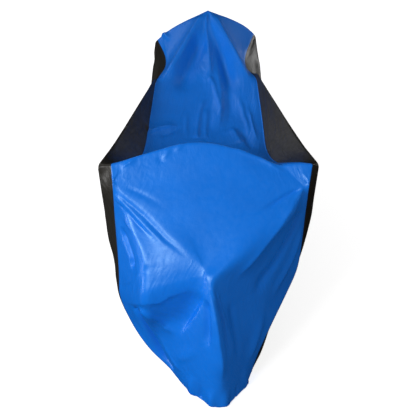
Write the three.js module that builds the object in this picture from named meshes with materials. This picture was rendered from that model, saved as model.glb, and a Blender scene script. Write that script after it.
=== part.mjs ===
import * as THREE from 'three';

// Fitted cover draped over a standing motorcycle: one coloured centre panel from the front hem over the
// ridge and the seat to the rear hem, and a black panel down each side.  Millimetres, +Z up, front at -Y.

// Driving dimensions
const LENGTH = 2082;
const WIDTH = 1050;
const HEIGHT = 1150;
const SHEET = 2;
const SEAM_GAP = 0.5;

// Size the section table below was drawn at
const DRAWN = { length: 2082, width: 1050, height: 1150 };

// Steps of the mesh between one section and the next, front hem to rear hem
const ROW_STEPS = [6, 9, 7, 7, 6, 5, 5, 5, 6, 6, 5, 4, 3, 3];
// Steps across, left hem to right hem: side panel, centre panel, side panel
const SIDE_STEPS = [3, 3, 2];
const CENTRE_STEPS = [5, 6, 7, 7, 6, 5];

// Columns of a section and how far each corner is rounded, in steps of one column
const COLUMN = { hemL: 0, shoulderL: 2, seamL: 3, spine: 6, seamR: 9, shoulderR: 10, hemR: 12 };
const SEAM_SOFT = 0.4;
const PLAIN_SOFT = 0.5;

const BLUE = { color: 0x1c6fd6, roughness: 0.42, metalness: 0 };
const BLACK = { color: 0x17181b, roughness: 0.4, metalness: 0 };

// One row for each section across the cover, [left, right] in pairs.  spine, seam, shoulder and hem are
// points; the crown stands at its share of the way from spine to seam, lifted by its height; cheek lifts
// the cloth between crown and seam and belly swells it between shoulder and hem.  keel, brow and edge round
// the spine, the crowns and the shoulders, and soft rounds the section itself along the cover.
const SECTIONS = [
  { at: 'front hem', spine: [50, -1042, 0], crown: [45, 62], share: [0.5, 0.5], cheek: [22, 30],
    belly: [0, 0], keel: 0.5, brow: 0.5, edge: 0.22, soft: 0.5,
    seamL: [-168, -790, 4], shoulderL: [-184, -760, 3], hemL: [-198, -728, 0],
    seamR: [216, -785, 4], shoulderR: [224, -755, 3], hemR: [232, -725, 0] },
  { at: 'wheel', spine: [52, -1030, 356], crown: [22, 6], share: [0.5, 0.5], cheek: [-2, 4],
    belly: [10, 0], keel: 0.3, brow: 0.5, edge: 0.22, soft: 0.5,
    seamL: [-322, -718, 152], shoulderL: [-300, -655, 125], hemL: [-205, -640, 8],
    seamR: [266, -788, 190], shoulderR: [258, -735, 165], hemR: [238, -640, 8] },
  { at: 'nose', spine: [8, -927, 660], crown: [4, 4], share: [0.06, 0.06], cheek: [165, 44],
    belly: [40, 22], keel: 0.28, brow: 0.4, edge: 0.22, soft: 0.22,
    seamL: [-428, -600, 318], shoulderL: [-440, -545, 360], hemL: [-245, -520, 20],
    seamR: [402, -585, 385], shoulderR: [372, -530, 370], hemR: [268, -520, 20] },
  { at: 'low brow', spine: [8, -826, 750], crown: [112, 134], share: [0.33, 0.41], cheek: [84, 8],
    belly: [40, 24], keel: 0.5, brow: 0.14, edge: 0.22, soft: 0.5,
    seamL: [-435, -568, 490], shoulderL: [-462, -507, 488], hemL: [-257, -472, 24],
    seamR: [444, -558, 523], shoulderR: [420, -498, 494], hemR: [277, -472, 24] },
  { at: 'front face', spine: [8, -690, 898], crown: [138, 142], share: [0.7, 0.76], cheek: [0, 0],
    belly: [40, 26], keel: 0.5, brow: 0.14, edge: 0.22, soft: 0.5,
    seamL: [-446, -540, 747], shoulderL: [-494, -450, 680], hemL: [-275, -400, 30],
    seamR: [464, -540, 747], shoulderR: [494, -450, 680], hemR: [290, -400, 30] },
  { at: 'high brow', spine: [0, -570, 1024], crown: [26, 26], share: [0.9, 0.9], cheek: [6, 6],
    belly: [30, 23], keel: 0.5, brow: 0.4, edge: 0.15, soft: 0.5,
    seamL: [-451, -572, 941], shoulderL: [-509, -500, 878], hemL: [-287, -325, 33],
    seamR: [477, -572, 941], shoulderR: [511, -500, 880], hemR: [300, -325, 33] },
  { at: 'ridge', spine: [-14, -450, 1150], crown: [9, -36], share: [0.7, 0.66], cheek: [-2, 4],
    belly: [20, 20], keel: 0.5, brow: 0.5, edge: 0.1, soft: 0.12,
    seamL: [-455, -512, 1069], shoulderL: [-521, -490, 1033], hemL: [-300, -250, 35],
    seamR: [489, -512, 1069], shoulderR: [524, -490, 1037], hemR: [310, -250, 35] },
  { at: 'dip', spine: [0, -150, 905], crown: [-8, -8], share: [0.5, 0.5], cheek: [0, 0],
    belly: [-10, -10], keel: 0.5, brow: 0.5, edge: 0.12, soft: 0.5,
    seamL: [-338, -205, 884], shoulderL: [-453, -185, 979], hemL: [-315, -60, 30],
    seamR: [318, -205, 884], shoulderR: [452, -185, 983], hemR: [322, -60, 30] },
  { at: 'seat', spine: [0, 150, 852], crown: [-4, -4], share: [0.7, 0.7], cheek: [0, 0],
    belly: [-15, -15], keel: 0.5, brow: 0.5, edge: 0.12, soft: 0.5,
    seamL: [-296, 172, 880], shoulderL: [-363, 150, 952], hemL: [-320, 170, 25],
    seamR: [276, 172, 880], shoulderR: [358, 150, 957], hemR: [322, 170, 25] },
  { at: 'wing end', spine: [0, 450, 897], crown: [2, 2], share: [0.84, 0.84], cheek: [0, 0],
    belly: [10, 10], keel: 0.5, brow: 0.5, edge: 0.12, soft: 0.16,
    seamL: [-271, 439, 930], shoulderL: [-292, 405, 930], hemL: [-315, 380, 30],
    seamR: [251, 468, 930], shoulderR: [265, 478, 930], hemR: [310, 380, 30] },
  { at: 'valley', spine: [2, 735, 972], crown: [72, 72], share: [0.58, 0.64], cheek: [0, 0],
    belly: [40, 40], keel: 0.4, brow: 0.14, edge: 0.22, soft: 0.5,
    seamL: [-225, 720, 880], shoulderL: [-255, 740, 790], hemL: [-300, 560, 35],
    seamR: [198, 720, 885], shoulderR: [232, 740, 795], hemR: [290, 560, 35] },
  { at: 'gable', spine: [0, 975, 1051], crown: [2, 2], share: [0.08, 0.08], cheek: [17, 20],
    belly: [40, 40], keel: 0.25, brow: 0.3, edge: 0.22, soft: 0.15,
    seamL: [-278, 965, 872], shoulderL: [-290, 985, 800], hemL: [-280, 700, 30],
    seamR: [252, 965, 908], shoulderR: [268, 985, 805], hemR: [270, 700, 30] },
  { at: 'rear upper', spine: [0, 1030, 700], crown: [10, 10], share: [0.5, 0.5], cheek: [4, 4],
    belly: [30, 30], keel: 0.5, brow: 0.5, edge: 0.22, soft: 0.5,
    seamL: [-265, 1010, 620], shoulderL: [-312, 975, 590], hemL: [-255, 800, 20],
    seamR: [245, 1010, 640], shoulderR: [288, 975, 600], hemR: [245, 800, 20] },
  { at: 'rear lower', spine: [0, 1038, 330], crown: [15, 15], share: [0.5, 0.5], cheek: [6, 6],
    belly: [15, 15], keel: 0.5, brow: 0.5, edge: 0.22, soft: 0.5,
    seamL: [-225, 1000, 310], shoulderL: [-272, 950, 290], hemL: [-230, 860, 8],
    seamR: [215, 1000, 315], shoulderR: [258, 950, 290], hemR: [222, 860, 8] },
  { at: 'rear hem', spine: [0, 1030, 0], crown: [30, 30], share: [0.5, 0.5], cheek: [12, 12],
    belly: [0, 0], keel: 0.5, brow: 0.5, edge: 0.22, soft: 0.5,
    seamL: [-160, 950, 4], shoulderL: [-185, 925, 3], hemL: [-205, 898, 0],
    seamR: [150, 950, 4], shoulderR: [175, 925, 3], hemR: [195, 898, 0] },
];

// Roundness of a crisp crest, as a share of its reach
const CREST = 0.18;

// One row for each fold.  way runs over [section, column]; rise is its height, outward or inward; left and
// right are the reach of its flanks; fan widens it towards its end; fade is its run-in and run-out.
const FOLDS = [
  { fold: 'left mirror to nose, upper crest',
    way: [[5.24, 3.18], [4.72, 5.04], [3.76, 5], [3.28, 5.02], [2.42, 5.18]],
    rise: 5, left: 18, right: 18, fan: 1.3, fade: [0.2, 0.3], crisp: true },
  { fold: 'valley under the upper crest', way: [[5.02, 3.26], [4.4, 4.8], [3.66, 4.54], [3.16, 4.68]],
    rise: -5, left: 18, right: 18, fan: 1.4, fade: [0.25, 0.4], crisp: false },
  { fold: 'left mirror to nose, lower crest',
    way: [[4.82, 4.7], [4.24, 4.16], [3.7, 4.32], [3.28, 4.52], [2.9, 4.68]],
    rise: 6, left: 18, right: 18, fan: 1.5, fade: [0.25, 0.4], crisp: true },
  { fold: 'valley under the lower crest', way: [[4.5, 3.32], [3.94, 3.8], [3.36, 4]],
    rise: -5, left: 18, right: 18, fan: 1.5, fade: [0.3, 0.4], crisp: false },
  { fold: 'hollow at the left seam', way: [[4.2, 3.38], [3.7, 3.94], [3.22, 3.9], [2.64, 3.72]],
    rise: -26, left: 18, right: 40, fan: 1, fade: [0.2, 0.2], crisp: true },
  { fold: 'lip beside the hollow', way: [[3.92, 4.06], [3.34, 4.18], [2.8, 4.06]],
    rise: 10, left: 20, right: 26, fan: 1, fade: [0.3, 0.3], crisp: false },
  { fold: 'shelf edge left of the nose',
    way: [[1.84, 2.8], [1.94, 3.56], [1.96, 3.94], [2.08, 4.14], [2.08, 4.52], [2.02, 4.82]],
    rise: 12, left: 40, right: 18, fan: 1, fade: [0.1, 0.25], crisp: true },
  { fold: 'hollow under the shelf', way: [[1.5, 3.64], [1.66, 4.42], [1.78, 4.94]],
    rise: -14, left: 34, right: 40, fan: 1, fade: [0.3, 0.3], crisp: false },
  { fold: 'ridge swell, left', way: [[5.92, 5.42], [5.94, 5.68], [5.98, 5.88]],
    rise: 6, left: 60, right: 60, fan: 1, fade: [0.4, 0.4], crisp: false },
  { fold: 'ridge swell, right', way: [[7.42, 6.4], [7.36, 6.96], [7.18, 8.02]],
    rise: 10, left: 60, right: 60, fan: 1, fade: [0.4, 0.4], crisp: false },
  { fold: 'right mirror to nose, upper crest',
    way: [[5.14, 7.14], [4.58, 6.78], [4.1, 6.64], [3.68, 6.48], [3.24, 6.32]],
    rise: 6, left: 18, right: 22, fan: 1.3, fade: [0.08, 0.4], crisp: true },
  { fold: 'valley under the upper crest, right',
    way: [[5.02, 7.14], [4.38, 6.88], [3.76, 6.78], [3.16, 6.74]],
    rise: -8, left: 18, right: 18, fan: 1.4, fade: [0.1, 0.4], crisp: false },
  { fold: 'right mirror to nose, lower crest',
    way: [[4.9, 7.1], [4.22, 6.96], [3.4, 7.12], [2.74, 7.24], [2.06, 7.34]],
    rise: 6, left: 18, right: 18, fan: 1.3, fade: [0.1, 0.3], crisp: true },
  { fold: 'valley under the lower crest, right',
    way: [[4.68, 7.34], [3.92, 8.04], [3.14, 7.76], [2.1, 7.94]],
    rise: -9, left: 20, right: 30, fan: 1.5, fade: [0.1, 0.3], crisp: false },
  { fold: 'keel below the nose', way: [[1.94, 5.38], [1.58, 6.14], [0.42, 6.16]],
    rise: 14, left: 22, right: 26, fan: 1.2, fade: [0.12, 0.4], crisp: true },
  { fold: 'fan below the nose, outer crest', way: [[1.94, 4.98], [1.24, 4.74]],
    rise: 7, left: 18, right: 18, fan: 1.5, fade: [0.2, 0.5], crisp: true },
  { fold: 'fan below the nose, valley', way: [[1.82, 5.24], [1.16, 5.18]],
    rise: -6, left: 18, right: 18, fan: 1.5, fade: [0.2, 0.5], crisp: false },
  { fold: 'fan below the nose, inner crest', way: [[1.78, 5.34], [1.3, 5.68], [0.86, 5.8]],
    rise: 7, left: 18, right: 18, fan: 1.4, fade: [0.2, 0.5], crisp: true },
  { fold: 'valley right of the keel', way: [[1.9, 7.14], [1.22, 6.62], [0.58, 6.64]],
    rise: -16, left: 22, right: 30, fan: 1.4, fade: [0.2, 0.4], crisp: false },
  { fold: 'tuck along the lower left', way: [[1.88, 3.38], [1.22, 3.62], [0.7, 3.78], [0.4, 4.2]],
    rise: -16, left: 26, right: 18, fan: 1.1, fade: [0.2, 0.2], crisp: true },
  { fold: 'crease above the tuck', way: [[1.96, 3.38], [1.7, 3.74], [1.2, 4.84]],
    rise: 9, left: 20, right: 18, fan: 1.3, fade: [0.15, 0.5], crisp: true },
  { fold: 'peak to seat, centre crest', way: [[10.84, 5.76], [10.2, 5.98], [9.48, 6.04], [9.16, 6.06]],
    rise: 14, left: 18, right: 18, fan: 1.2, fade: [0.06, 0.15], crisp: true },
  { fold: 'right fork on the seat',
    way: [[9.5, 6.04], [9.14, 6.08], [8.86, 6.18], [8.38, 6.28], [7.64, 6.26]],
    rise: 14, left: 20, right: 18, fan: 1.1, fade: [0.2, 0.3], crisp: true },
  { fold: 'left fork on the seat', way: [[9.5, 6.04], [9.12, 5.96], [8.66, 5.9], [7.56, 5.72]],
    rise: 9, left: 18, right: 18, fan: 1.2, fade: [0.2, 0.3], crisp: true },
  { fold: 'hollow between the forks', way: [[8.7, 6.06], [7.52, 6.04]],
    rise: -10, left: 20, right: 20, fan: 1.2, fade: [0.3, 0.2], crisp: false },
  { fold: 'seat crease behind the ridge', way: [[8.36, 5.96], [6.04, 6.02]],
    rise: 7, left: 18, right: 18, fan: 1, fade: [0.3, 0.1], crisp: true },
  { fold: 'left seat crest', way: [[7.5, 3.22], [7.9, 5.26]],
    rise: 12, left: 18, right: 22, fan: 0.8, fade: [0.2, 0.5], crisp: true },
  { fold: 'left seat valley', way: [[7.68, 3.32], [8.12, 5.36]],
    rise: -8, left: 18, right: 18, fan: 0.8, fade: [0.2, 0.5], crisp: false },
  { fold: 'right seat valley', way: [[7.74, 6.6], [7.26, 7.68]],
    rise: -12, left: 18, right: 18, fan: 1, fade: [0.3, 0.3], crisp: false },
  { fold: 'right seat crest', way: [[7.76, 6.72], [7.34, 7.6]],
    rise: 8, left: 18, right: 18, fan: 1, fade: [0.3, 0.2], crisp: true },
  { fold: 'right ridge sag', way: [[5.74, 6.6], [5.7, 6.76], [5.62, 7.14]],
    rise: -8, left: 18, right: 18, fan: 1, fade: [0.2, 0.5], crisp: false },
  { fold: 'peak to left wing end', way: [[10.8, 5.42], [10.34, 5.16], [9.56, 5.14], [8.96, 3.26]],
    rise: 6, left: 20, right: 24, fan: 1.1, fade: [0.1, 0.25], crisp: true },
  { fold: 'hollow left of the centre crest', way: [[10.4, 5.72], [9.64, 5.58], [8.74, 5.48]],
    rise: -10, left: 32, right: 32, fan: 1.2, fade: [0.2, 0.4], crisp: false },
  { fold: 'puff at the left gable corner', way: [[10.98, 3.34], [10.6, 3.52]],
    rise: 10, left: 18, right: 18, fan: 1, fade: [0.01, 0.5], crisp: false },
  { fold: 'peak to right wing end', way: [[10.86, 7], [10.48, 7.1], [10.18, 8.8], [9.06, 9.24]],
    rise: 6, left: 24, right: 20, fan: 1.1, fade: [0.1, 0.25], crisp: true },
  { fold: 'hollow right of the centre crest', way: [[10.36, 6.36], [9.58, 6.52], [8.7, 6.6]],
    rise: -10, left: 32, right: 32, fan: 1.2, fade: [0.2, 0.4], crisp: false },
  { fold: 'hem lobe, far left', way: [[0, 4.2], [0.8, 5.38]],
    rise: 9, left: 18, right: 18, fan: 0.8, fade: [0.01, 0.7], crisp: false },
  { fold: 'hem notch, left', way: [[0.04, 5.3], [0.64, 5.6]],
    rise: -16, left: 18, right: 18, fan: 0.8, fade: [0.01, 0.7], crisp: false },
  { fold: 'hem lobe, left of tip', way: [[0, 5.68], [0.6, 5.82]],
    rise: 14, left: 18, right: 18, fan: 0.8, fade: [0.01, 0.7], crisp: false },
  { fold: 'hem lobe, right of tip', way: [[0, 6.36], [0.56, 6.22]],
    rise: 12, left: 18, right: 18, fan: 0.8, fade: [0.01, 0.7], crisp: false },
  { fold: 'hem notch, right', way: [[0, 6.74], [0.54, 6.42]],
    rise: -10, left: 18, right: 18, fan: 0.8, fade: [0.01, 0.7], crisp: false },
  { fold: 'hem lobe, right', way: [[0.02, 7.46], [0.68, 6.68]],
    rise: 14, left: 18, right: 18, fan: 0.8, fade: [0.01, 0.7], crisp: false },
  { fold: 'hem lobe, far right', way: [[0, 8.44], [0.82, 7.32]],
    rise: 12, left: 18, right: 18, fan: 0.8, fade: [0.01, 0.7], crisp: false },
  { fold: 'left mirror, forward', way: [[5.6, 1.8], [4.6, 1.2], [3.83, 0.1]],
    rise: 16, left: 40, right: 50, fan: 1.4, fade: [0.4, 0.4], crisp: false },
  { fold: 'left mirror, down', way: [[6.02, 1.8], [6.05, 1.1], [6.1, 0]],
    rise: 20, left: 36, right: 40, fan: 1.6, fade: [0.4, 0.3], crisp: false },
  { fold: 'left mirror, rearward', way: [[6.3, 1.8], [6.7, 1.2], [7, 0.1]],
    rise: 14, left: 36, right: 46, fan: 1.5, fade: [0.4, 0.4], crisp: false },
  { fold: 'left mirror, trough', way: [[5.8, 1.75], [5.3, 1], [5, 0]],
    rise: -14, left: 34, right: 34, fan: 1.4, fade: [0.3, 0.3], crisp: false },
  { fold: 'left tank trough', way: [[7.2, 1.9], [7.6, 1], [7.7, 0]],
    rise: -16, left: 50, right: 60, fan: 1, fade: [0.2, 0.1], crisp: false },
  { fold: 'left wing end, forward', way: [[8.9, 1.9], [8.4, 1], [8.3, 0]],
    rise: 16, left: 46, right: 46, fan: 1.2, fade: [0.1, 0.15], crisp: false },
  { fold: 'left wing end, trough', way: [[9.05, 1.9], [9.1, 1], [9.2, 0]],
    rise: -14, left: 36, right: 40, fan: 1.3, fade: [0.1, 0.2], crisp: false },
  { fold: 'left gable, forward', way: [[10.9, 2], [10.2, 1.1], [9.9, 0]],
    rise: 18, left: 40, right: 50, fan: 1.2, fade: [0.1, 0.2], crisp: false },
  { fold: 'left gable, trough', way: [[11, 2.1], [10.9, 1], [10.7, 0]],
    rise: -14, left: 36, right: 40, fan: 1.2, fade: [0.1, 0.2], crisp: false },
  { fold: 'left front corner', way: [[2.25, 1.8], [2.75, 1], [2.75, 0]],
    rise: 12, left: 40, right: 44, fan: 1.2, fade: [0.15, 0.2], crisp: false },
  { fold: 'left rear corner', way: [[12, 2.4], [12.2, 1.2], [12.4, 0]],
    rise: 14, left: 44, right: 44, fan: 1.1, fade: [0.2, 0.1], crisp: false },
  { fold: 'right mirror, forward', way: [[5.6, 10.2], [4.8, 10.9], [4.2, 11.9]],
    rise: 15, left: 42, right: 48, fan: 1.4, fade: [0.4, 0.4], crisp: false },
  { fold: 'right mirror, down', way: [[6.02, 10.2], [6.15, 10.9], [6.3, 12]],
    rise: 18, left: 38, right: 38, fan: 1.5, fade: [0.4, 0.3], crisp: false },
  { fold: 'right mirror, rearward', way: [[6.4, 10.2], [6.9, 10.8], [7.3, 12]],
    rise: 16, left: 40, right: 44, fan: 1.4, fade: [0.4, 0.4], crisp: false },
  { fold: 'right mirror, trough', way: [[5.8, 10.25], [5.5, 11], [5.4, 12]],
    rise: -12, left: 34, right: 34, fan: 1.4, fade: [0.3, 0.3], crisp: false },
  { fold: 'right tank trough', way: [[7.5, 10.1], [8, 11], [8.1, 12]],
    rise: -15, left: 50, right: 56, fan: 1, fade: [0.2, 0.1], crisp: false },
  { fold: 'right wing end, down', way: [[8.9, 10.1], [8.7, 11], [8.8, 12]],
    rise: 17, left: 44, right: 46, fan: 1.2, fade: [0.1, 0.15], crisp: false },
  { fold: 'right wing end, trough', way: [[9.1, 10.1], [9.4, 11], [9.6, 12]],
    rise: -12, left: 38, right: 38, fan: 1.3, fade: [0.1, 0.2], crisp: false },
  { fold: 'right gable, forward', way: [[10.9, 10], [10.4, 10.9], [10.3, 12]],
    rise: 16, left: 40, right: 48, fan: 1.2, fade: [0.1, 0.2], crisp: false },
  { fold: 'right front corner', way: [[2.75, 10.6], [3.17, 11.2], [3.33, 12]],
    rise: 7, left: 40, right: 44, fan: 1.2, fade: [0.3, 0.2], crisp: false },
  { fold: 'right rear corner', way: [[11.9, 9.7], [11.8, 10.9], [11.8, 12]],
    rise: 14, left: 44, right: 44, fan: 1.1, fade: [0.2, 0.1], crisp: false },
  { fold: 'rear, left of centre', way: [[11.1, 5], [12.4, 5.2], [13.9, 5.3]],
    rise: 14, left: 40, right: 50, fan: 1.2, fade: [0.1, 0.2], crisp: false },
  { fold: 'rear centre trough', way: [[11.05, 6], [12.3, 5.8], [13.9, 6.1]],
    rise: -12, left: 40, right: 40, fan: 1.4, fade: [0.1, 0.2], crisp: false },
  { fold: 'rear, right of centre', way: [[11.1, 6.9], [12.6, 6.8], [14, 7.2]],
    rise: 16, left: 44, right: 50, fan: 1.2, fade: [0.1, 0.1], crisp: false },
  { fold: 'rear left trough', way: [[11.1, 3.4], [12.6, 4], [14, 3.8]],
    rise: -12, left: 36, right: 40, fan: 1.2, fade: [0.1, 0.1], crisp: false },
];

const add = (a, b, k = 1) => a.map((x, i) => x + k * b[i]);
const middle = (a, b) => a.map((x, i) => (x + b[i]) / 2);
const cross = (a, b) => [
  a[1] * b[2] - a[2] * b[1],
  a[2] * b[0] - a[0] * b[2],
  a[0] * b[1] - a[1] * b[0],
];
const dot = (a, b) => a[0] * b[0] + a[1] * b[1] + a[2] * b[2];
const unit = (a) => a.map((x) => x / (Math.hypot(...a) || 1));
const ease = (t) => {
  const x = Math.min(Math.max(t, 0), 1);
  return x * x * (3 - 2 * x);
};

// Point of a polyline at t, with the corner at each knot rounded over its own reach
function rounded(knots, soft, t) {
  const last = knots.length - 1;
  const k = Math.min(Math.max(Math.round(t), 0), last);
  const here = knots[k];
  const back = knots[Math.max(k - 1, 0)];
  const fore = knots[Math.min(k + 1, last)];
  const s = t - k;
  const w = soft[k];
  return here.map((p, i) => {
    const a = k === 0 ? fore[i] - p : p - back[i];
    const b = k === last ? p - back[i] : fore[i] - p;
    if (Math.abs(s) >= w) return p + (s > 0 ? b : a) * s;
    const r = s / w;
    return p + w * (((b - a) / 4) * (r * r + 1) + ((a + b) / 2) * r);
  });
}

// Knots whose rounded polyline passes through the given pins
function passThrough(pins, soft) {
  let knots = pins;
  for (let pass = 0; pass < 8; pass += 1) {
    const got = knots.map((_, k) => rounded(knots, soft, k));
    knots = knots.map((p, k) => add(add(p, pins[k]), got[k], -1));
  }
  return knots;
}

function scaled(point) {
  return [
    (point[0] * WIDTH) / DRAWN.width,
    (point[1] * LENGTH) / DRAWN.length,
    (point[2] * HEIGHT) / DRAWN.height,
  ];
}

// The thirteen pins across section k
function sectionPins(k) {
  const row = SECTIONS[k];
  const fore = SECTIONS[Math.min(k + 1, SECTIONS.length - 1)].spine;
  const back = SECTIONS[Math.max(k - 1, 0)].spine;
  const run = add(fore, back, -1);
  const lift = unit([0, -run[2], run[1]]);
  const pins = [];
  for (const [name, column] of Object.entries(COLUMN)) pins[column] = row[name];
  pins[5] = add(add(row.spine, add(row.seamL, row.spine, -1), row.share[0]), lift, row.crown[0]);
  pins[7] = add(add(row.spine, add(row.seamR, row.spine, -1), row.share[1]), lift, row.crown[1]);
  pins[4] = add(middle(pins[5], row.seamL), lift, row.cheek[0]);
  pins[8] = add(middle(pins[7], row.seamR), lift, row.cheek[1]);
  pins[1] = add(middle(row.shoulderL, row.hemL), [-1, 0, 0], row.belly[0]);
  pins[11] = add(middle(row.shoulderR, row.hemR), [1, 0, 0], row.belly[1]);
  return pins.map(scaled);
}

const ALONG_SOFT = SECTIONS.map((row) => row.soft);
const ACROSS = SECTIONS.map((row, k) => {
  const half = [PLAIN_SOFT, PLAIN_SOFT, row.edge, SEAM_SOFT, PLAIN_SOFT, row.brow];
  const soft = [...half, row.keel, ...half.slice().reverse()];
  return { soft, knots: passThrough(sectionPins(k), soft) };
});

// Knots along the cover at column position u
function ribAt(u) {
  return passThrough(ACROSS.map((section) => rounded(section.knots, section.soft, u)), ALONG_SOFT);
}

const tautPoint = (v, u) => rounded(ribAt(u), ALONG_SOFT, v);

function positions(steps, start) {
  const at = [start];
  steps.forEach((count, k) => {
    for (let n = 1; n <= count; n += 1) at.push(start + k + n / count);
  });
  return at;
}

const ROWS = positions(ROW_STEPS, 0);
const COLUMNS = [
  ...positions(SIDE_STEPS, 0).slice(0, -1),
  ...positions(CENTRE_STEPS, COLUMN.seamL),
  ...positions([...SIDE_STEPS].reverse(), COLUMN.seamR).slice(1),
];
const SEAM_LEFT = COLUMNS.indexOf(COLUMN.seamL);
const SEAM_RIGHT = COLUMNS.indexOf(COLUMN.seamR);

// Step between the neighbours of grid place i, j, along the rows or across them
function runAlong(grid, i, j) {
  const last = grid.length - 1;
  return add(grid[Math.min(i + 1, last)][j], grid[Math.max(i - 1, 0)][j], -1);
}

function runAcross(grid, i, j) {
  const last = grid[i].length - 1;
  return add(grid[i][Math.min(j + 1, last)], grid[i][Math.max(j - 1, 0)], -1);
}

const outward = (grid, i, j) => unit(cross(runAcross(grid, i, j), runAlong(grid, i, j)));

// Points of a fold's way laid on the taut cloth, with the length run so far
function laidWay(way) {
  const points = [];
  for (let leg = 0; leg < way.length - 1; leg += 1) {
    for (let n = leg === 0 ? 0 : 1; n <= 5; n += 1) {
      const [v, u] = way[leg].map((x, i) => x + ((way[leg + 1][i] - x) * n) / 5);
      points.push(tautPoint(v, u));
    }
  }
  const run = [0];
  for (let n = 1; n < points.length; n += 1) {
    run.push(run[n - 1] + Math.hypot(...add(points[n], points[n - 1], -1)));
  }
  return { points, run };
}

// Height of one fold at a point of the taut cloth
function foldHeight(row, laid, point, normal) {
  const { points, run } = laid;
  let near = Infinity;
  let t = 0;
  let onLeft = true;
  for (let n = 0; n < points.length - 1; n += 1) {
    const leg = add(points[n + 1], points[n], -1);
    const from = add(point, points[n], -1);
    const share = Math.min(Math.max(dot(from, leg) / dot(leg, leg), 0), 1);
    const far = Math.hypot(...add(from, leg, -share));
    if (far < near) {
      near = far;
      t = (run[n] + share * (run[n + 1] - run[n])) / run[run.length - 1];
      onLeft = dot(cross(leg, from), normal) > 0;
    }
  }
  const reach = (onLeft ? row.left : row.right) * (1 + (row.fan - 1) * t);
  const q = near / reach;
  const flank = row.crisp ? Math.exp(CREST - Math.hypot(q, CREST) - (q / 3) ** 4) : Math.exp(-q * q);
  return row.rise * flank * ease(t / row.fade[0]) * ease((1 - t) / row.fade[1]);
}

// The outer face of the whole cover: taut cloth with every fold laid on it
function drapedGrid() {
  const ribs = COLUMNS.map(ribAt);
  const taut = ROWS.map((v) => ribs.map((rib) => rounded(rib, ALONG_SOFT, v)));
  const laid = FOLDS.map((row) => laidWay(row.way));
  return taut.map((line, i) => line.map((point, j) => {
    const normal = outward(taut, i, j);
    const heights = FOLDS.map((row, k) => foldHeight(row, laid[k], point, normal));
    return add(point, normal, heights.reduce((sum, h) => sum + h, 0));
  }));
}

// Closed sheet between two columns of the grid; a cut edge at a seam stands back by its own share
function panel(name, grid, first, last, standBack, finish) {
  const width = last - first + 1;
  const outer = [];
  const inner = [];
  for (let i = 0; i < grid.length; i += 1) {
    for (let j = first; j <= last; j += 1) {
      const normal = outward(grid, i, j);
      const aside = unit(cross(normal, runAlong(grid, i, j)));
      const point = add(grid[i][j], aside, standBack[j] ?? 0);
      outer.push(...point);
      inner.push(...add(point, normal, -SHEET));
    }
  }
  const faces = [];
  const under = outer.length / 3;
  const quad = (a, b, c, d) => faces.push(a, b, c, a, c, d);
  for (let i = 0; i < grid.length - 1; i += 1) {
    for (let j = 0; j < width - 1; j += 1) {
      const a = i * width + j;
      const d = a + width;
      quad(a, a + 1, d + 1, d);
      quad(under + a, under + d, under + d + 1, under + a + 1);
    }
  }
  const wall = (a, b) => {
    const low = Math.min(a, b);
    const high = under + Math.max(a, b);
    faces.push(b, a, low === a ? high : under + a, low, under + a, under + b);
  };
  const top = (grid.length - 1) * width;
  for (let j = 0; j < width - 1; j += 1) {
    wall(j, j + 1);
    wall(top + j + 1, top + j);
  }
  for (let i = 0; i < grid.length - 1; i += 1) {
    wall((i + 1) * width, i * width);
    wall(i * width + width - 1, (i + 1) * width + width - 1);
  }
  const geometry = new THREE.BufferGeometry();
  geometry.setAttribute('position', new THREE.Float32BufferAttribute([...outer, ...inner], 3));
  geometry.setIndex(faces);
  geometry.computeVertexNormals();
  const mesh = new THREE.Mesh(geometry, new THREE.MeshStandardMaterial(finish));
  mesh.name = name;
  return mesh;
}

function buildCover() {
  const cover = new THREE.Group();
  cover.name = 'motorcycle_cover';
  const grid = drapedGrid();
  const end = COLUMNS.length - 1;
  cover.add(
    panel('centre_panel', grid, SEAM_LEFT, SEAM_RIGHT, {}, BLUE),
    panel('left_side_panel', grid, 0, SEAM_LEFT, { [SEAM_LEFT]: SEAM_GAP }, BLACK),
    panel('right_side_panel', grid, SEAM_RIGHT, end, { [SEAM_RIGHT]: -SEAM_GAP }, BLACK),
  );
  return cover;
}

export default buildCover();
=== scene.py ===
"""Visual model of a motorcycle cover: three panels of coated taffeta in their draped shape."""

from __future__ import annotations

import logging
import math
from dataclasses import dataclass
from enum import Enum

import bmesh
import bpy
import numpy as np
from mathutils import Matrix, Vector

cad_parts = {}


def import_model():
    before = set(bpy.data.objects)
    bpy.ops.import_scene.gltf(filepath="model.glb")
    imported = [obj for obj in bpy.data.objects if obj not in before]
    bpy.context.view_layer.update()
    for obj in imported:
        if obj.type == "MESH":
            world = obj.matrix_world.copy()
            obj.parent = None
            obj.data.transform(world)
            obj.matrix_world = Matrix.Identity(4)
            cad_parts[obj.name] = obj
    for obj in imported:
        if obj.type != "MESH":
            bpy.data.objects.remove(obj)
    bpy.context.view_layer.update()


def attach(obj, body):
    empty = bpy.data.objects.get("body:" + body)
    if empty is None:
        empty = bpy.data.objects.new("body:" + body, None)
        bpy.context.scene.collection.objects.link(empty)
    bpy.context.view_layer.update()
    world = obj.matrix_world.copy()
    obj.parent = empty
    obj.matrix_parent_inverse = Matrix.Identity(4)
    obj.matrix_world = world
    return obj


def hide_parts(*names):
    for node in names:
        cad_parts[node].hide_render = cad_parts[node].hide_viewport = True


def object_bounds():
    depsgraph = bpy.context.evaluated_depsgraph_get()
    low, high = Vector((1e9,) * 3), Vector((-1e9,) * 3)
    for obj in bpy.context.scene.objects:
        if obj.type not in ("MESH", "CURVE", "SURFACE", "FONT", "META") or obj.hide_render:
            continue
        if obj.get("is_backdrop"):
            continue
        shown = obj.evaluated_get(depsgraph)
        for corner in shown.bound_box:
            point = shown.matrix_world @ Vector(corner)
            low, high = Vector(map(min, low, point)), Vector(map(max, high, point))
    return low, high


LOG = logging.getLogger("motorcycle_cover")
MM = 0.001

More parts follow.
